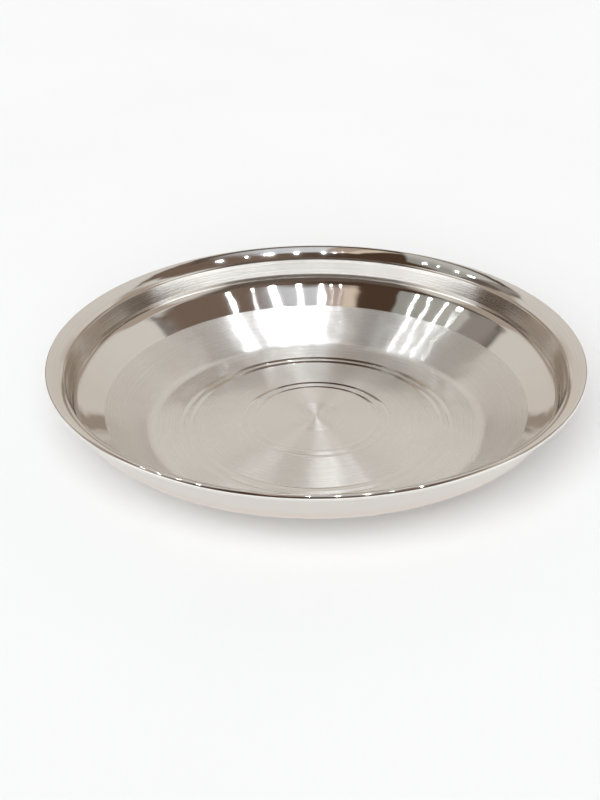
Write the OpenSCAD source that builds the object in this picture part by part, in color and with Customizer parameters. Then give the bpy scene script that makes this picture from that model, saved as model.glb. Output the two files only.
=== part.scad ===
// Thali plate: one spun sheet dish whose edge is curled over a ring of rim wire.
// The floor stands on z = 0, the axis of the plate is +Z, and sizes are in millimetres.

/* [Plate] */
// Diameter over the curled rim
plate_d = 300; // [260:1:340]
// Height from the table to the top of the rim
plate_h = 50; // [44:0.5:58]
// Thickness of the spun sheet
sheet_t = 0.8; // [0.6:0.05:1]

/* [Floor] */
// Rise of the middle of the floor above the foot
crown_rise = 2.75; // [1.5:0.05:4]
// Width of the flat foot ring that the plate stands on
foot_w = 10.6; // [6:0.2:16]
// Bend radius between foot and wall, at the middle of the sheet
floor_bend_r = 10; // [6:0.5:14]

/* [Turned rings] */
// Outermost turned ring, as a share of the crown's radius
outer_ring_share = 0.943; // [0.86:0.001:0.96]
// Outer ring of the inner pair, as a share of the crown's radius
inner_ring_share = 0.51; // [0.35:0.001:0.7]
// Distance between the two rings of a pair
ring_pitch = 5.5; // [4:0.1:8]
// Width of a turned ring
ring_w = 2.4; // [1.8:0.1:3]
// Depth of a turned ring
ring_depth = 0.06; // [0.04:0.01:0.1]

/* [Wall] */
// Slope of the wall above the floor, in degrees
wall_slope = 35.4; // [31:0.1:40]
// Bend radius of the shoulder between wall and neck, at the middle of the sheet
shoulder_bend_r = 7.8; // [5.5:0.1:9.5]
// Turn of the shoulder, up to the neck, in degrees
shoulder_turn = 39.3; // [34:0.1:44]
// Length of the straight neck
neck_len = 12.4; // [9:0.1:15]

/* [Lip] */
// Bend radius of the crease between neck and lip, at the middle of the sheet
crease_bend_r = 1.2; // [0.9:0.1:2]
// Turn of the crease, in degrees
crease_turn = 24.6; // [20:0.1:29]
// Width of the scored line along the crease
score_w = 1.2; // [0.8:0.05:1.5]
// Depth of the scored line along the crease
score_depth = 0.18; // [0.1:0.01:0.25]
// Radius of the domed lip, at the middle of the sheet
lip_bend_r = 18.5; // [15:0.5:25]
// Turn of the domed lip, in degrees
lip_turn = 28.5; // [22:0.1:32]

/* [Curled edge] */
// Thickness of the rim wire
wire_d = 0.9; // [0.7:0.05:1.4]
// Clearance between rim wire and curl, all round
wire_clear = 0.2; // [0.15:0.01:0.3]
// Turn of the curl round the wire, in degrees
curl_turn = 285.6; // [240:0.2:288]

/* [Hidden] */
half_t = sheet_t / 2;
// Facets of the small circles and of the wide crown
$fn = 180;
crown_facets = 1440;

// Curl: its middle line, its outside and its centre over the rim wire
curl_r = wire_d / 2 + wire_clear + half_t;
bead_r = curl_r + half_t;
rim_at = [plate_d / 2 - bead_r, plate_h - bead_r];

// Headings of the sheet, in degrees above level, on its way from the floor to the rim
neck_slope = wall_slope + shoulder_turn;
lip_foot_slope = neck_slope - crease_turn;
lip_tip_slope = lip_foot_slope - lip_turn;

// Steps out and up along a bend or a straight of the sheet
function bend_step(mid_r, from, to) =
    sign(to - from) * mid_r * [sin(to) - sin(from), cos(from) - cos(to)];
function straight_step(len, head) = len * [cos(head), sin(head)];

// Joints of the sheet, followed inward from the rim to the top of the wall
lip_tip = rim_at + curl_r * [-sin(lip_tip_slope), cos(lip_tip_slope)];
lip_foot = lip_tip - bend_step(lip_bend_r, lip_foot_slope, lip_tip_slope);
neck_top = lip_foot - bend_step(crease_bend_r, neck_slope, lip_foot_slope);
neck_foot = neck_top - straight_step(neck_len, neck_slope);
wall_top = neck_foot - bend_step(shoulder_bend_r, wall_slope, neck_slope);

// The wall's length closes the height, and the floor's radius closes the diameter
floor_bend = bend_step(floor_bend_r, 0, wall_slope);
wall_len = (wall_top[1] - half_t - floor_bend[1]) / sin(wall_slope);
floor_r = wall_top[0] - wall_len * cos(wall_slope) - floor_bend[0];

// Crown: a wide shallow ball cap over the foot ring
crown_r = floor_r - foot_w;
crown_ball_r = (crown_r * crown_r + crown_rise * crown_rise) / (2 * crown_rise);
crown_z = half_t + crown_rise - crown_ball_r;
function crown_top(r) = crown_z + sqrt(pow(crown_ball_r + half_t, 2) - r * r);

// Turned rings: radii, and the cutter whose arc has the ring's width and depth
outer_ring_r = outer_ring_share * crown_r;
inner_ring_r = inner_ring_share * crown_r;
ring_radii = [outer_ring_r, outer_ring_r - ring_pitch, inner_ring_r, inner_ring_r - ring_pitch];
function cutter_r(w, depth) = (w * w / 4 + depth * depth) / (2 * depth);
ring_cutter_r = cutter_r(ring_w, ring_depth);

// Scored line: middle of the crease on the inner face, and its cutter
score_head = (neck_slope + lip_foot_slope) / 2;
score_up = [-sin(score_head), cos(score_head)];
score_at = (neck_top + lip_foot) / 2 + half_t * score_up;
score_cutter_r = cutter_r(score_w, score_depth);

// A straight run of the sheet, and whatever follows it
module straight(len) {
    translate([0, -half_t]) square([len, sheet_t]);
    translate([len, 0]) children();
}

// Frame at the far end of a bend: left turns are positive
module after_bend(mid_r, turn) {
    side = sign(turn);
    translate([0, side * mid_r]) rotate(turn) translate([0, -side * mid_r]) children();
}

// A bend of the sheet between its two end lines, and whatever follows it
module bend(mid_r, turn) {
    reach = 2 * (mid_r + sheet_t);
    intersection() {
        translate([0, sign(turn) * mid_r]) difference() {
            circle(mid_r + half_t);
            circle(mid_r - half_t);
        }
        translate([0, -reach]) square([reach, 2 * reach]);
        after_bend(mid_r, turn) translate([-reach, -reach]) square([reach, 2 * reach]);
    }
    after_bend(mid_r, turn) children();
}

// Section of the floor: crown and flat foot, with the turned rings cut in its inner face
module floor_section() {
    difference() {
        union() {
            square([floor_r, sheet_t]);
            intersection() {
                translate([0, crown_z]) circle(crown_ball_r + half_t, $fn = crown_facets);
                square([floor_r, crown_rise + sheet_t]);
            }
        }
        translate([0, crown_z]) circle(crown_ball_r - half_t, $fn = crown_facets);
        for (r = ring_radii)
            translate([r, crown_top(r) + ring_cutter_r - ring_depth]) circle(ring_cutter_r);
    }
}

// Section of the sheet from the floor to the end of the curl, bend by bend
module wall_section() {
    translate([floor_r, half_t])
        bend(floor_bend_r, wall_slope)
        straight(wall_len)
        bend(shoulder_bend_r, shoulder_turn)
        straight(neck_len)
        bend(crease_bend_r, -crease_turn)
        bend(lip_bend_r, -lip_turn)
        bend(curl_r, -curl_turn / 2)
        bend(curl_r, -curl_turn / 2);
}

// The spun sheet: floor, wall, shoulder, neck, lip and curled edge in one piece
module dish() {
    color("silver") rotate_extrude() difference() {
        union() {
            floor_section();
            wall_section();
        }
        translate(score_at + (score_cutter_r - score_depth) * score_up) circle(score_cutter_r);
    }
}

// The ring of wire held in the curl
module rim_wire() {
    color("gray") rotate_extrude() translate(rim_at) circle(wire_d / 2);
}

dish();
rim_wire();
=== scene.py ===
"""Thali plate: a spun steel dish with turned rings, a polished wall, and a rim curled over a wire."""
import math

import bpy
import numpy as np
from mathutils import Matrix, Vector


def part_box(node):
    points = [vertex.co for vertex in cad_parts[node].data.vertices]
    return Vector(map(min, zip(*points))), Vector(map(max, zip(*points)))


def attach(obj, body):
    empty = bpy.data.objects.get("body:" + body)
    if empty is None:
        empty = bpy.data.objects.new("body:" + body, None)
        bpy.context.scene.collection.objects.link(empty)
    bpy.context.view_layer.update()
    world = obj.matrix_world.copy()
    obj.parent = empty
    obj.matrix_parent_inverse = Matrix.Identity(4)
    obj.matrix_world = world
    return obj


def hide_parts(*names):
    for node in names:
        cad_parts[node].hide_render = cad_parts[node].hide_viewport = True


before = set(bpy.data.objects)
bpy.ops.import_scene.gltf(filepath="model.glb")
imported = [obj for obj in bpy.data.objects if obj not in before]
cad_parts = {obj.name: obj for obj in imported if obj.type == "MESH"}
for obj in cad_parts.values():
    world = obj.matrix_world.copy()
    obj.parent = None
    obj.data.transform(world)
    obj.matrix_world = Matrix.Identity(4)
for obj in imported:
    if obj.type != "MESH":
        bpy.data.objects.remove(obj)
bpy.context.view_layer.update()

# Sizes of the sheet, in millimetres and degrees, as in the part's source.
MM = 0.001
SHEET_T = 0.8
HALF_T = SHEET_T / 2
CROWN_RISE = 2.75
FOOT_W = 10.6
FLOOR_BEND_R = 10.0
OUTER_RING_SHARE = 0.943
INNER_RING_SHARE = 0.51
RING_PITCH = 5.5
RING_W = 2.4
RING_DEPTH = 0.06
WALL_SLOPE = 35.4
SHOULDER_BEND_R = 7.8
SHOULDER_TURN = 39.3
NECK_LEN = 12.4
CREASE_BEND_R = 1.2
CREASE_TURN = 24.6
SCORE_W = 1.2
SCORE_DEPTH = 0.18
LIP_BEND_R = 18.5
LIP_TURN = 28.5
CURL_R = 1.05
CURL_TURN = 285.6

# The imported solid's facets reach a hair less far than the true circle, so the rim is taken from them.
HAIR = 0.01
dish_low, dish_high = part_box("dish")
RIM_R = min(dish_high.x, dish_high.y, -dish_low.x, -dish_low.y) / MM - HAIR
RIM_H = dish_high.z / MM - HAIR

# How finely the dish is drawn: columns round the axis, and rows along each run of the sheet.
COLUMNS = 256
CROWN_ROWS = 42
CROWN_EDGE_ROWS = 13
FOOT_ROWS = 5
FLOOR_BEND_ROWS = 12
WALL_ROWS = 16
SHOULDER_ROWS = 28
NECK_ROWS = 22
SCORE_ROWS = 8
CREASE_ROWS = 4
LIP_ROWS = 18
CURL_ROWS = 36
CUT_EDGE_ROWS = 8
# Half width of the fine rows about the crown's edge, and length of those beside the scored line.
CROWN_EDGE = 4.0
SCORE_EDGE = 0.75
# Rows across half a turned ring, as shares of its half width, and its sloping side as such a share.
RING_ROW_SHARES = np.array([0.0, 0.4, 0.72, 0.79, 0.86, 0.93, 1.0, 1.2])
RING_SIDE_SHARE = 0.28
# Least distance between two rows of the floor, and softness of the crown's edge.
ROW_GAP = 0.05
CROWN_SOFT = 0.05


def bend_step(mid_r, head, to):
    """Step out and up along a bend whose heading goes from head to to, in degrees."""
    side = math.copysign(mid_r, to - head)
    a = math.radians(head)
    b = math.radians(to)
    return np.array([side * (math.sin(b) - math.sin(a)), side * (math.cos(a) - math.cos(b))])


def bend(start, head, mid_r, turn, shares):
    """Rows of out, up and heading along a bend.

    The heading goes from head by shares of turn, and the sheet's middle keeps mid_r from one centre.
    """
    a = math.radians(head)
    h = a + math.radians(turn) * np.asarray(shares)
    side = math.copysign(mid_r, turn)
    out = start[0] + side * (np.sin(h) - math.sin(a))
    up = start[1] + side * (math.cos(a) - np.cos(h))
    return np.stack([out, up, h], axis=1)


def straight(start, head, length, shares):
    """Rows of out, up and heading along a straight run: the start plus shares of the length."""
    a = math.radians(head)
    run = length * np.asarray(shares)
    out = start[0] + run * math.cos(a)
    up = start[1] + run * math.sin(a)
    return np.stack([out, up, np.full(run.shape, a)], axis=1)


def even(steps):
    """Even shares from 0 to 1, without the 0, which the run before has already."""
    return np.linspace(0.0, 1.0, steps + 1)[1:]


# Headings of the sheet on its way from the floor to the rim.
neck_slope = WALL_SLOPE + SHOULDER_TURN
lip_foot_slope = neck_slope - CREASE_TURN
lip_tip_slope = lip_foot_slope - LIP_TURN

# Joints of the sheet, followed inward from the rim; the wall and the floor close height and diameter.
bead_r = CURL_R + HALF_T
rim_at = np.array([RIM_R - bead_r, RIM_H - bead_r])
tip_a = math.radians(lip_tip_slope)
lip_tip = rim_at + CURL_R * np.array([-math.sin(tip_a), math.cos(tip_a)])
lip_foot = lip_tip - bend_step(LIP_BEND_R, lip_foot_slope, lip_tip_slope)
neck_top = lip_foot - bend_step(CREASE_BEND_R, neck_slope, lip_foot_slope)
neck_a = math.radians(neck_slope)
neck_foot = neck_top - NECK_LEN * np.array([math.cos(neck_a), math.sin(neck_a)])
wall_top = neck_foot - bend_step(SHOULDER_BEND_R, WALL_SLOPE, neck_slope)
floor_step = bend_step(FLOOR_BEND_R, 0, WALL_SLOPE)
wall_a = math.radians(WALL_SLOPE)
wall_len = (wall_top[1] - HALF_T - floor_step[1]) / math.sin(wall_a)
floor_r = wall_top[0] - wall_len * math.cos(wall_a) - floor_step[0]
crown_r = floor_r - FOOT_W
outer_ring_r = OUTER_RING_SHARE * crown_r
inner_ring_r = INNER_RING_SHARE * crown_r
RING_RADII = [outer_ring_r, outer_ring_r - RING_PITCH, inner_ring_r, inner_ring_r - RING_PITCH]


def floor_rows(radii):
    """Rows of the floor's middle line: a shallow cap that runs softly into the flat foot.

    Height is the soft maximum of rise * (1 - (r / crown)^2) and 0, on top of half the sheet.
    """
    cap = CROWN_RISE * (1.0 - (radii / crown_r) ** 2)
    up = HALF_T + CROWN_SOFT * np.logaddexp(0.0, cap / CROWN_SOFT)
    heading = np.arctan(np.gradient(up, radii))
    heading[0] = 0.0
    return np.stack([radii, up, heading], axis=1)


def floor_radii():
    """Radii of the floor's rows: even over crown and foot, finer at the crown's edge and the rings."""
    edge_low = crown_r - CROWN_EDGE
    edge_high = crown_r + CROWN_EDGE
    across = RING_W / 2 * np.concatenate([-RING_ROW_SHARES[:0:-1], RING_ROW_SHARES])
    radii = np.concatenate(
        [
            np.linspace(0.0, edge_low, CROWN_ROWS),
            np.linspace(edge_low, edge_high, CROWN_EDGE_ROWS),
            np.linspace(edge_high, floor_r, FOOT_ROWS),
        ]
        + [ring + across for ring in RING_RADII]
    )
    radii = np.unique(np.round(radii, 2))
    radii = radii[np.concatenate([[True], np.diff(radii) > ROW_GAP])]
    radii[-1] = floor_r
    return radii


def dish_rows():
    """Rows of the sheet's middle line from the axis to the end of the curl, and where each run ends."""
    floor_end = (floor_r, HALF_T)
    wall_foot = floor_end + floor_step
    near = even(SCORE_ROWS)
    edge = SCORE_EDGE / NECK_LEN
    neck_shares = np.concatenate([(1.0 - edge) * even(NECK_ROWS), 1.0 - edge + edge * near])
    start = SCORE_EDGE / (LIP_BEND_R * math.radians(LIP_TURN))
    lip_shares = np.concatenate([start * near, start + (1.0 - start) * even(LIP_ROWS)])
    parts = [
        floor_rows(floor_radii()),
        bend(floor_end, 0.0, FLOOR_BEND_R, WALL_SLOPE, even(FLOOR_BEND_ROWS)),
        straight(wall_foot, WALL_SLOPE, wall_len, even(WALL_ROWS)),
        bend(wall_top, WALL_SLOPE, SHOULDER_BEND_R, SHOULDER_TURN, even(SHOULDER_ROWS)),
        straight(neck_foot, neck_slope, NECK_LEN, neck_shares),
        bend(neck_top, neck_slope, CREASE_BEND_R, -CREASE_TURN, even(CREASE_ROWS)),
        bend(lip_foot, lip_foot_slope, LIP_BEND_R, -LIP_TURN, lip_shares),
        bend(lip_tip, lip_tip_slope, CURL_R, -CURL_TURN, even(CURL_ROWS)),
    ]
    return np.concatenate(parts), np.cumsum([len(part) for part in parts])


mid, part_ends = dish_rows()
floor_ends, _, wall_ends, shoulder_ends, neck_ends, _, lip_ends, curl_ends = part_ends
steps = np.hypot(np.diff(mid[:, 0]), np.diff(mid[:, 1]))
along = np.concatenate([[0.0], np.cumsum(steps)])
normal = np.stack([-np.sin(mid[:, 2]), np.cos(mid[:, 2])], axis=1)

# Cuts in the inner face: the scored line along the crease and the turned rings on the floor.
score_mid = along[neck_ends - 1] + CREASE_BEND_R * math.radians(CREASE_TURN) / 2
cut = SCORE_DEPTH * np.clip(1.0 - (2.0 * (along - score_mid) / SCORE_W) ** 2, 0.0, None)
for ring_r in RING_RADII:
    ring_mid = np.interp(ring_r, mid[:floor_ends, 0], along[:floor_ends])
    across = 2.0 * (along - ring_mid) / RING_W
    slope = np.clip((1.0 - np.abs(across)) / RING_SIDE_SHARE, 0.0, 1.0)
    cut = cut + RING_DEPTH * slope**2 * (3.0 - 2.0 * slope)

inner = mid[:, :2] + (HALF_T - cut)[:, None] * normal
outer = mid[:, :2] - HALF_T * normal

# Rounded cut edge of the sheet at the end of the curl: half a circle about the end of the middle line.
CUT_EDGE_SHARE = 0.98
end_turn = np.linspace(0.0, math.pi, CUT_EDGE_ROWS + 1)[1:-1]
end_h = mid[-1, 2]
edge_dir = np.stack(
    [
        np.cos(end_turn) * normal[-1, 0] + np.sin(end_turn) * math.cos(end_h),
        np.cos(end_turn) * normal[-1, 1] + np.sin(end_turn) * math.sin(end_h),
    ],
    axis=1,
)
cut_edge = mid[-1, :2] + HALF_T * CUT_EDGE_SHARE * edge_dir

# The other face needs fewer rows: under the floor, where it has no rings, every fourth but for the last
# few, from there to the lip every second, and in the curl, where it is hidden, every second.
LAST_FLOOR_ROWS = 8
floor_rows_thinned = floor_ends - LAST_FLOOR_ROWS
keep = np.ones(len(mid), bool)
keep[:floor_rows_thinned] = np.arange(floor_rows_thinned) % 4 == 0
keep[floor_ends:lip_ends] = np.arange(lip_ends - floor_ends) % 2 == 0
keep[lip_ends:] = np.arange(curl_ends - lip_ends) % 2 == 1
under = outer[keep][::-1]

# The closed section: inner face from the axis to the rim, round the bead, cut edge, and back below.
section = np.concatenate([inner, cut_edge, under])
section[0, 0] = 0.0
section[-1, 0] = 0.0
section_steps = np.hypot(np.diff(section[:, 0]), np.diff(section[:, 1]))
section_along = np.concatenate([[0.0], np.cumsum(section_steps)])
SECTION_LEN = float(section_along[-1])


def at_radius(radius, rows):
    """Length along the section where one of the first rows of the inner face has a radius."""
    return float(np.interp(radius, inner[:rows, 0], section_along[:rows]))


# Places along the section, in millimetres from the axis, where one finish meets another.
FLOOR_END = float(section_along[floor_ends - 1])
SHOULDER_END = float(section_along[shoulder_ends - 1])
NECK_END = float(section_along[neck_ends - 1])
INNER_END = float(section_along[curl_ends - 1])
UNDER_BEND_LEN = 6.0
UNDER_FLOOR = SECTION_LEN - floor_r - UNDER_BEND_LEN
UNDER_WALL = UNDER_FLOOR - wall_len
POLISH_R = 120.4
POLISH_AT = at_radius(POLISH_R, wall_ends)
RING_AT = [at_radius(ring_r, floor_ends) for ring_r in RING_RADII]
MIDDLE_FROM = 16.0
MIDDLE_TO = RING_AT[3] - RING_W / 2


def revolve(name, rows, row_along, columns):
    """Closed surface of a section turned about the axis.

    Row i and column j lie at (r_i cos a_j, r_i sin a_j, z_i); the first and last row are single points
    on the axis. The map's first value is the length along the section and its second is the turn, both
    from 0 to 1.
    """
    turn = np.arange(columns) * (2.0 * math.pi / columns)
    ring_rows = rows[1:-1]
    grid = np.empty((len(ring_rows), columns, 3))
    grid[..., 0] = ring_rows[:, None, 0] * np.cos(turn)
    grid[..., 1] = ring_rows[:, None, 0] * np.sin(turn)
    grid[..., 2] = ring_rows[:, None, 1]
    poles = np.array([[0.0, 0.0, rows[0, 1]], [0.0, 0.0, rows[-1, 1]]])
    points = np.concatenate([grid.reshape(-1, 3), poles]) * MM
    top = len(ring_rows) * columns
    j = np.arange(columns)
    k = (j + 1) % columns
    i = np.arange(len(ring_rows) - 1)[:, None] * columns
    quads = np.stack([i + j, i + columns + j, i + columns + k, i + k], axis=2).reshape(-1, 4)
    last = (len(ring_rows) - 1) * columns
    first_fan = np.stack([np.full(columns, top), j, k], axis=1)
    last_fan = np.stack([np.full(columns, top + 1), last + k, last + j], axis=1)

    u = row_along / row_along[-1]
    v = np.arange(columns + 1) / columns
    u_in = np.repeat(u[1:-2, None], columns, axis=1)
    u_out = np.repeat(u[2:-1, None], columns, axis=1)
    v_one = np.repeat(v[None, :-1], len(ring_rows) - 1, axis=0)
    v_two = np.repeat(v[None, 1:], len(ring_rows) - 1, axis=0)
    quad_u = np.stack([u_in, u_out, u_out, u_in], axis=2).reshape(-1)
    quad_v = np.stack([v_one, v_one, v_two, v_two], axis=2).reshape(-1)
    ones = np.ones(columns)
    first_u = np.stack([u[0] * ones, u[1] * ones, u[1] * ones], axis=1).reshape(-1)
    first_v = np.stack([(v[:-1] + v[1:]) / 2, v[:-1], v[1:]], axis=1).reshape(-1)
    last_u = np.stack([u[-1] * ones, u[-2] * ones, u[-2] * ones], axis=1).reshape(-1)
    last_v = np.stack([(v[:-1] + v[1:]) / 2, v[1:], v[:-1]], axis=1).reshape(-1)

    corners = np.concatenate([quads.reshape(-1), first_fan.reshape(-1), last_fan.reshape(-1)])
    sizes = np.concatenate([np.full(len(quads), 4), np.full(2 * columns, 3)])
    starts = np.concatenate([[0], np.cumsum(sizes)[:-1]])
    mesh = bpy.data.meshes.new(name)
    mesh.vertices.add(len(points))
    mesh.vertices.foreach_set("co", points.astype(np.float32).reshape(-1))
    mesh.loops.add(len(corners))
    mesh.loops.foreach_set("vertex_index", corners.astype(np.int32))
    mesh.polygons.add(len(sizes))
    mesh.polygons.foreach_set("loop_start", starts.astype(np.int32))
    mesh.polygons.foreach_set("use_smooth", np.ones(len(sizes), bool))
    uv = mesh.uv_layers.new(name="along_and_turn")
    uv_u = np.concatenate([quad_u, first_u, last_u])
    uv_v = np.concatenate([quad_v, first_v, last_v])
    uv.data.foreach_set("uv", np.stack([uv_u, uv_v], axis=1).astype(np.float32).reshape(-1))
    mesh.update(calc_edges=True)
    mesh.validate()
    piece = bpy.data.objects.new(name, mesh)
    bpy.context.scene.collection.objects.link(piece)
    return piece


class Value:
    """One socket of a shader tree. Sums, differences, products and quotients add Math nodes."""

    def __init__(self, tree, socket=None):
        self.tree = tree
        self.socket = socket

    def make(self, kind, settings=None, inputs=None, out=0):
        """Adds a node: its settings first, then numbers or links for its sockets; returns one output."""
        node = self.tree.nodes.new(kind)
        for name, setting in (settings or {}).items():
            setattr(node, name, setting)
        for name, given in (inputs or {}).items():
            if isinstance(given, Value):
                self.tree.links.new(given.socket, node.inputs[name])
            else:
                node.inputs[name].default_value = given
        return Value(self.tree, node.outputs[out] if len(node.outputs) else None)

    def math(self, operation, *others):
        """A Math node on this value and the others."""
        given = {place: other for place, other in enumerate((self, *others))}
        return self.make("ShaderNodeMath", {"operation": operation}, given)

    def __add__(self, other):
        return self.math("ADD", other)

    __radd__ = __add__

    def __mul__(self, other):
        return self.math("MULTIPLY", other)

    __rmul__ = __mul__

    def __sub__(self, other):
        return self.math("SUBTRACT", other)

    def __rsub__(self, other):
        return (self * -1.0) + other

    def __truediv__(self, other):
        return self.math("DIVIDE", other)

    def rise(self, low, high):
        """A smooth step from 0 at low to 1 at high."""
        inputs = {"Value": self, "From Min": low, "From Max": high}
        return self.make("ShaderNodeMapRange", {"interpolation_type": "SMOOTHSTEP"}, inputs)

    def band(self, low, high, soft):
        """1 between low and high, with soft edges."""
        return self.rise(low - soft, low + soft) * (1.0 - self.rise(high - soft, high + soft))

    def blend(self, low, high):
        """A colour that goes from low to high with this value."""
        settings = {"data_type": "RGBA"}
        inputs = {0: self}
        for place, colour in ((6, low), (7, high)):
            inputs[place] = colour if isinstance(colour, Value) else (*colour, 1.0)
        return self.make("ShaderNodeMix", settings, inputs, 2)

    def lines(self, per_unit, detail=2.0):
        """Uneven lines across this value: noise in one dimension."""
        settings = {"noise_dimensions": "1D"}
        inputs = {"W": self, "Scale": per_unit, "Detail": detail, "Roughness": 0.6}
        return self.make("ShaderNodeTexNoise", settings, inputs)

    def part(self, axis):
        """One of the X, Y and Z parts of this vector."""
        return self.make("ShaderNodeSeparateXYZ", None, {0: self}, axis)

    def size(self):
        """This value without its sign."""
        return self.math("ABSOLUTE")


def new_material(name):
    """A material with an empty tree, and a value from which nodes are added to that tree."""
    material = bpy.data.materials.new(name)
    material.use_nodes = True
    material.node_tree.nodes.clear()
    return material, Value(material.node_tree)


def clouds(start, scale, detail=2.0):
    """Soft uneven patches from noise on the object's own coordinates, scale in patches per metre."""
    place = start.make("ShaderNodeTexCoord", out="Object")
    inputs = {"Vector": place, "Scale": scale, "Detail": detail}
    return start.make("ShaderNodeTexNoise", None, inputs)


def relief(start, height, unit, strength=1.0):
    """A bumped normal from a height that is counted in units, with the unit in metres."""
    return start.make("ShaderNodeBump", None, {"Strength": strength, "Distance": unit, "Height": height})


def steel(start, colour, rough, bump=None, turned=False):
    """Bare steel of a colour, roughness and relief.

    A turned finish draws its glints out across its lines.
    """
    inputs = {"Base Color": colour, "Metallic": 1.0, "Roughness": rough}
    if turned:
        inputs.update({"Anisotropic": 1.0, "Anisotropic Rotation": 0.25})
    if bump:
        inputs["Normal"] = bump
    return start.make("ShaderNodeBsdfPrincipled", None, inputs)


def mixed(start, factor, one, two):
    """One finish over another: the first where the factor is 0, the second where it is 1."""
    return start.make("ShaderNodeMixShader", None, {0: factor, 1: one, 2: two})


# Finish of the sheet. Lines are counted per millimetre along the section.
COARSE_LINES = 1.6
FINE_LINES = 8.0
LIP_LINES = 0.7
PATCHES = 26.0
MIDDLE_POLISH = 0.6
HAZE_SHARE = 0.2
SATIN_DARK = (0.82, 0.79, 0.755)
SATIN_LIGHT = (0.93, 0.905, 0.875)
POLISH_DARK = (0.76, 0.735, 0.70)
POLISH_LIGHT = (0.88, 0.86, 0.83)
NECK_LINE = (0.60, 0.58, 0.55)
OUTSIDE = (0.71, 0.675, 0.64)
# Brown of the outside's lower wall: painted shade, standing in for the shadowed table that the wall
# mirrors.
UNDERSIDE_PAINTED_SHADE = (0.69, 0.60, 0.535)
# Relief: its units in metres, and heights in such units.
SATIN_UNIT = 0.000001
SATIN_WAVE = 900.0
POLISH_UNIT = 0.000004
POLISH_WAVE = 80.0
SHOULDER_EASE = 50.0
# The tool's slanted cut in each turned ring, on the +Y half only: its height, where its band ends in
# ring widths from the ring's inner edge (it begins as far from the other edge), and the distance behind
# the plate's axis, in metres, over which it comes in.
RING_FACET = 660.0
RING_SHARES = [1.2, 1.2, 0.95, 0.85]
FACET_FROM = 0.0
FACET_TO = 0.035


def ring_masks(run):
    """Where the turned rings are, and the slanted cut that rises outward across each of them."""
    rings = 0.0
    facets = 0.0
    for ring_at, share in zip(RING_AT, RING_SHARES):
        across = (run - (ring_at - RING_W / 2)) / RING_W
        ring = across.band(1.0 - share, share, 0.05)
        rings = ring + rings
        facets = ring * across + facets
    return rings, facets


def spun_steel():
    """Spun sheet: satin turned floor and lower wall, polished upper wall, lip and outside."""
    material, start = new_material("spun_steel")
    run = start.make("ShaderNodeUVMap", {"uv_map": "along_and_turn"}).part("X") * SECTION_LEN
    coarse = run.lines(COARSE_LINES)
    fine = run.lines(FINE_LINES)
    wander = clouds(start, PATCHES)

    # Masks along the section.
    rings, facets = ring_masks(run)
    middle = run.band(MIDDLE_FROM, MIDDLE_TO, 0.4)
    under_floor = run.rise(UNDER_FLOOR - 4.0, UNDER_FLOOR + 4.0)
    above = run.rise(POLISH_AT - 0.4, POLISH_AT + 0.4) * (1.0 - under_floor)
    polished = above.math("MAXIMUM", rings.math("MAXIMUM", MIDDLE_POLISH * middle))
    on_wall = run.rise(FLOOR_END, FLOOR_END + 14.0)
    neck = run.band(SHOULDER_END, NECK_END - 0.5, 0.4)
    on_lip = run.rise(NECK_END, NECK_END + 1.0)
    outside = run.rise(INNER_END - 0.5, INNER_END + 0.5)
    # Where the outside's lower wall turns brown: painted shade of the shadowed table that it mirrors.
    painted_shade_below = run.rise(UNDER_WALL - 10.0, UNDER_WALL - 2.0)

    # Satin: smooth and rough lines side by side, under a thin even haze.
    satin_rough = 0.10 + 0.07 * on_wall + 0.29 * fine.rise(0.36, 0.64) + 0.04 * (wander - 0.5)
    satin_colour = (0.3 * coarse + 0.7 * wander).blend(SATIN_DARK, SATIN_LIGHT)
    satin_bump = relief(start, coarse + 0.4 * fine + SATIN_WAVE * wander, SATIN_UNIT)
    haze = steel(start, satin_colour, 0.42 + 0.1 * wander)
    satin = mixed(start, HAZE_SHARE, steel(start, satin_colour, satin_rough, satin_bump, True), haze)

    # Polish: nearly a mirror, with lines on neck and lip, painted shade on the outside's lower wall, and
    # the neck's foot eased into the shoulder.
    polish_rough = 0.055 + 0.02 * (fine - 0.5) + 0.02 * (wander - 0.5) + 0.055 * neck + 0.02 * rings
    lip_lines = on_lip * (run.lines(LIP_LINES, 1.0) - 0.5)
    bright = (0.5 * fine + 0.5 * wander + 1.2 * lip_lines).blend(POLISH_DARK, POLISH_LIGHT)
    lined = (0.5 * neck * coarse.rise(0.46, 0.62)).blend(bright, NECK_LINE)
    # The outside's lower wall takes the brown painted shade, and the rest of the outside keeps its own
    # colour.
    polish_colour = outside.blend(lined, painted_shade_below.blend(OUTSIDE, UNDERSIDE_PAINTED_SHADE))
    ease = run.rise(SHOULDER_END - 9.0, SHOULDER_END) - run.rise(SHOULDER_END - 0.4, SHOULDER_END + 2.6)
    back = start.make("ShaderNodeTexCoord", out="Object").part("Y").rise(FACET_FROM, FACET_TO)
    height = (coarse + 0.5 * fine) * (0.2 + 3.0 * neck) + POLISH_WAVE * wander
    height = height + RING_FACET * back * facets + SHOULDER_EASE * ease
    polish = steel(start, polish_colour, polish_rough, relief(start, height, POLISH_UNIT), True)

    start.make("ShaderNodeOutputMaterial", None, {"Surface": mixed(start, polished, satin, polish)})
    return material


# Finish of the rim wire, with marks and patches per metre.
WIRE_MARKS = 900.0
WIRE_PATCHES = 60.0
WIRE_DARK = (0.36, 0.345, 0.33)
WIRE_LIGHT = (0.56, 0.54, 0.515)
WIRE_UNIT = 0.00001


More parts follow.
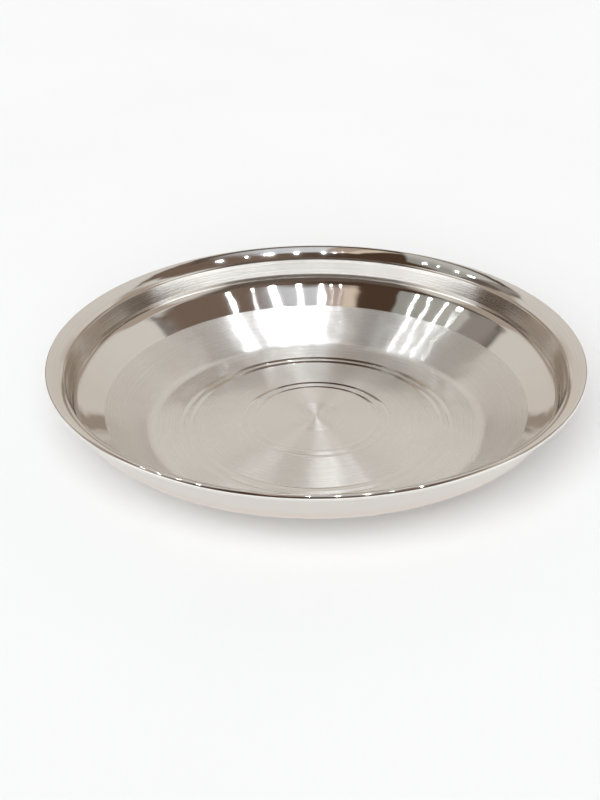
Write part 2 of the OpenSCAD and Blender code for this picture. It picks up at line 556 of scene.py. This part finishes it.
def drawn_wire():
    """Drawn steel wire: dull grey with fine uneven draw marks."""
    material, start = new_material("drawn_wire")
    marks = clouds(start, WIRE_MARKS, 3.0)
    patches = clouds(start, WIRE_PATCHES)
    colour = (0.5 * marks + 0.5 * patches).blend(WIRE_DARK, WIRE_LIGHT)
    wire = steel(start, colour, 0.3 + 0.2 * marks, relief(start, marks, WIRE_UNIT, 0.6))
    start.make("ShaderNodeOutputMaterial", None, {"Surface": wire})
    return material


# Finish of the table top, with patches per metre.
TABLE_PATCHES = 3.0
TABLE_TONE_DARK = (0.66, 0.66, 0.657)
TABLE_TONE_LIGHT = (0.69, 0.69, 0.686)


def pale_floor():
    """Pale matt table top with the faintest unevenness."""
    material, start = new_material("pale_floor")
    colour = clouds(start, TABLE_PATCHES).blend(TABLE_TONE_DARK, TABLE_TONE_LIGHT)
    inputs = {"Base Color": colour, "Roughness": 0.9, "Specular IOR Level": 0.1}
    matt = start.make("ShaderNodeBsdfPrincipled", None, inputs)
    start.make("ShaderNodeOutputMaterial", None, {"Surface": matt})
    return material


def show(piece, material):
    """Gives a piece one material."""
    piece.data.materials.clear()
    piece.data.materials.append(material)


# The dish, and the wire that its edge is curled over.
dish = revolve("spun_dish", section, section_along, COLUMNS)
show(dish, spun_steel())
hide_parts("dish")
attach(dish, "root")
show(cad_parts["rim_wire"], drawn_wire())

# Table top: one flat square.
TABLE_HALF = 2.2
corner = np.array([-TABLE_HALF, TABLE_HALF])
table_x, table_y = np.meshgrid(corner, corner)
table_points = np.stack([table_x, table_y, np.zeros((2, 2))], axis=2).reshape(-1, 3)
table_mesh = bpy.data.meshes.new("table_top")
table_mesh.from_pydata(table_points.tolist(), [], [[0, 1, 3, 2]])
table_top = bpy.data.objects.new("table_top", table_mesh)
bpy.context.scene.collection.objects.link(table_top)
show(table_top, pale_floor())

# Tones of the studio's walls, front, sides and ceiling.
WALL_LOW = (0.64, 0.575, 0.51)
WALL_HIGH = (0.70, 0.672, 0.635)
SIDE_LOW = (0.27, 0.21, 0.155)
SIDE_HIGH = (0.42, 0.355, 0.295)
FRONT_BRIGHT = (1.74, 1.78, 1.80)
FRONT_DARK = (0.13, 0.10, 0.08)
ROOF_LEFT = (0.075, 0.045, 0.028)
ROOF_RIGHT = (0.185, 0.132, 0.10)
ROOF_PATCH = (0.04, 0.026, 0.02)
FAR_BAY_DARK = (0.13, 0.105, 0.09)
FAR_BAY_LIGHT = (0.30, 0.27, 0.245)
PALE_BAY = (0.675, 0.69, 0.725)
TAN_BAY = (0.46, 0.37, 0.31)
SAND_BAY = (0.74, 0.62, 0.51)
GREY_BAY_NEAR = (0.33, 0.33, 0.30)
GREY_BAY_FAR = (0.56, 0.55, 0.51)


def ceiling_tone(x, y, patches):
    """Colour of the ceiling by direction: a dark roof with patches, and paler bays between its beams."""
    bays = y.band(-0.14, 0.33, 0.03)
    pale_bay = bays * x.rise(-0.05, -0.03) * (1.0 - x.rise(0.10, 0.31))
    tan_bay = bays * x.band(-0.12, -0.04, 0.012)
    sand_bay = bays * x.band(-0.18, -0.12, 0.012)
    slanted = 0.5 * y - x
    grey_bay = slanted.band(0.345, 0.68, 0.012) * y.band(-0.14, 0.46, 0.03)
    far_bay = slanted.rise(0.67, 0.69)
    roof = x.rise(-0.10, 0.30).blend(ROOF_LEFT, ROOF_RIGHT)
    roof = (patches.rise(0.40, 0.60) * y.rise(0.18, 0.32)).blend(roof, ROOF_PATCH)
    roof = far_bay.blend(roof, patches.rise(0.42, 0.58).blend(FAR_BAY_DARK, FAR_BAY_LIGHT))
    roof = pale_bay.blend(roof, PALE_BAY)
    roof = tan_bay.blend(roof, TAN_BAY)
    roof = sand_bay.blend(roof, SAND_BAY)
    return grey_bay.blend(roof, y.rise(0.0, 0.40).blend(GREY_BAY_NEAR, GREY_BAY_FAR))


def room_light():
    """Soft studio surroundings by direction: x to the right, y to the back, z up.

    Pale walls behind, brown sides, a bright low front under a dark one, and a dark roof with pale bays.
    """
    world = bpy.data.worlds.new("studio")
    bpy.context.scene.world = world
    world.use_nodes = True
    world.node_tree.nodes.clear()
    start = Value(world.node_tree)
    towards = start.make("ShaderNodeTexCoord", out="Generated")
    x, y, z = (towards.part(axis) for axis in "XYZ")
    patches = start.make("ShaderNodeTexNoise", None, {"Vector": towards, "Scale": 3.5, "Detail": 3.0})
    uneven = 0.3 * (patches - 0.5)
    ceiling = (z * 0.55 - y - 0.17 * x + 0.05 + uneven).rise(-0.03, 0.03)
    ceiling = ceiling * (z - 0.12 * x + uneven).rise(0.68, 0.74)
    low_sides = x.size().rise(0.30, 0.62) * (1.0 - z.rise(0.08, 0.40)) * (y + 0.4).rise(0.0, 0.5)
    high_sides = x.size().rise(0.58, 0.68) * (1.0 - z.rise(0.66, 0.74)) * y.band(-0.15, 0.40, 0.06)
    front = (y * -1.0).rise(0.0, 0.25)
    low_front = front * (1.0 - z.rise(0.13, 0.17))
    high_front = front * z.rise(0.14, 0.18) * (1.0 - x.size().rise(0.62, 0.82))
    colour = (z + 0.25 * patches).rise(0.0, 1.0).blend(WALL_LOW, WALL_HIGH)
    colour = low_sides.blend(colour, SIDE_LOW)
    colour = high_sides.blend(colour, SIDE_HIGH)
    colour = low_front.blend(colour, FRONT_BRIGHT)
    colour = high_front.blend(colour, FRONT_DARK)
    colour = ceiling.blend(colour, ceiling_tone(x, y, patches))
    sky = start.make("ShaderNodeBackground", None, {"Color": colour, "Strength": 1.0})
    start.make("ShaderNodeOutputWorld", None, {"Surface": sky})


# Ceiling lamps: their height, tint, and each one's right and back as shares of the height, its size in
# metres and its watts.
LAMP_H = 1.9
LAMP_TINT = (0.88, 0.95, 1.0)
CEILING_LAMPS = [
    (0.36, 0.06, 0.035, 2.6),
    (0.27, -0.03, 0.015, 0.6),
    (0.18, -0.05, 0.048, 4.8),
    (0.07, -0.085, 0.032, 3.9),
    (-0.027, -0.095, 0.020, 2.2),
    (-0.065, -0.09, 0.006, 0.15),
    (-0.106, -0.08, 0.006, 0.15),
    (-0.415, 0.09, 0.030, 0.8),
    (-0.48, 0.145, 0.030, 0.8),
    (-0.55, 0.225, 0.030, 0.8),
    (-0.61, 0.30, 0.080, 0.3),
]


def lamp(name, place, size, watts):
    """A small round lamp at a place, turned to the plate, that shows as a glint in the polish."""
    light = bpy.data.lights.new(name, "AREA")
    light.shape = "DISK"
    light.size = size
    light.energy = watts
    light.color = LAMP_TINT
    lamp_object = bpy.data.objects.new(name, light)
    lamp_object.location = place
    lamp_object.rotation_mode = "QUATERNION"
    lamp_object.rotation_quaternion = (-Vector(place)).to_track_quat("-Z", "Y")
    lamp_object.visible_diffuse = False
    bpy.context.scene.collection.objects.link(lamp_object)


room_light()
for number, (right, back, size, watts) in enumerate(CEILING_LAMPS):
    lamp(f"ceiling_lamp_{number}", (right * LAMP_H, back * LAMP_H, LAMP_H), size, watts)

# Even soft light on the table, from the front and above.
TABLE_LIGHT_STRENGTH = 6.0
TABLE_LIGHT_TINT = (0.93, 0.97, 1.0)
TABLE_LIGHT_SPREAD = math.radians(60.0)
TABLE_LIGHT_TILT = math.radians(54.0)
TABLE_LIGHT_TURN = math.radians(-8.0)
table_light = bpy.data.lights.new("table_light", "SUN")
table_light.energy = TABLE_LIGHT_STRENGTH
table_light.color = TABLE_LIGHT_TINT
table_light.angle = TABLE_LIGHT_SPREAD
table_light_object = bpy.data.objects.new("table_light", table_light)
table_light_object.rotation_euler = (TABLE_LIGHT_TILT, 0.0, TABLE_LIGHT_TURN)
table_light_object.visible_glossy = False
bpy.context.scene.collection.objects.link(table_light_object)

# Camera at the photograph's angle: distance from the middle of the rim, height angle and framing.
CAMERA_DISTANCE = 0.652
CAMERA_ELEVATION = math.radians(27.17)
CAMERA_ROLL = math.radians(-0.175)
camera_data = bpy.data.cameras.new("camera")
camera_data.sensor_width = 36.0
camera_data.lens = 52.02
camera_data.shift_x = -0.0200
camera_data.shift_y = -0.0656
camera = bpy.data.objects.new("camera", camera_data)
rim_height = RIM_H * MM - bead_r * MM
camera.matrix_world = (
    Matrix.Translation((0.0, 0.0, rim_height))
    @ Matrix.Rotation(math.pi / 2 - CAMERA_ELEVATION, 4, "X")
    @ Matrix.Rotation(CAMERA_ROLL, 4, "Z")
    @ Matrix.Translation((0.0, 0.0, CAMERA_DISTANCE))
)
bpy.context.scene.collection.objects.link(camera)
bpy.context.scene.camera = camera
bpy.context.scene.view_settings.view_transform = "Standard"
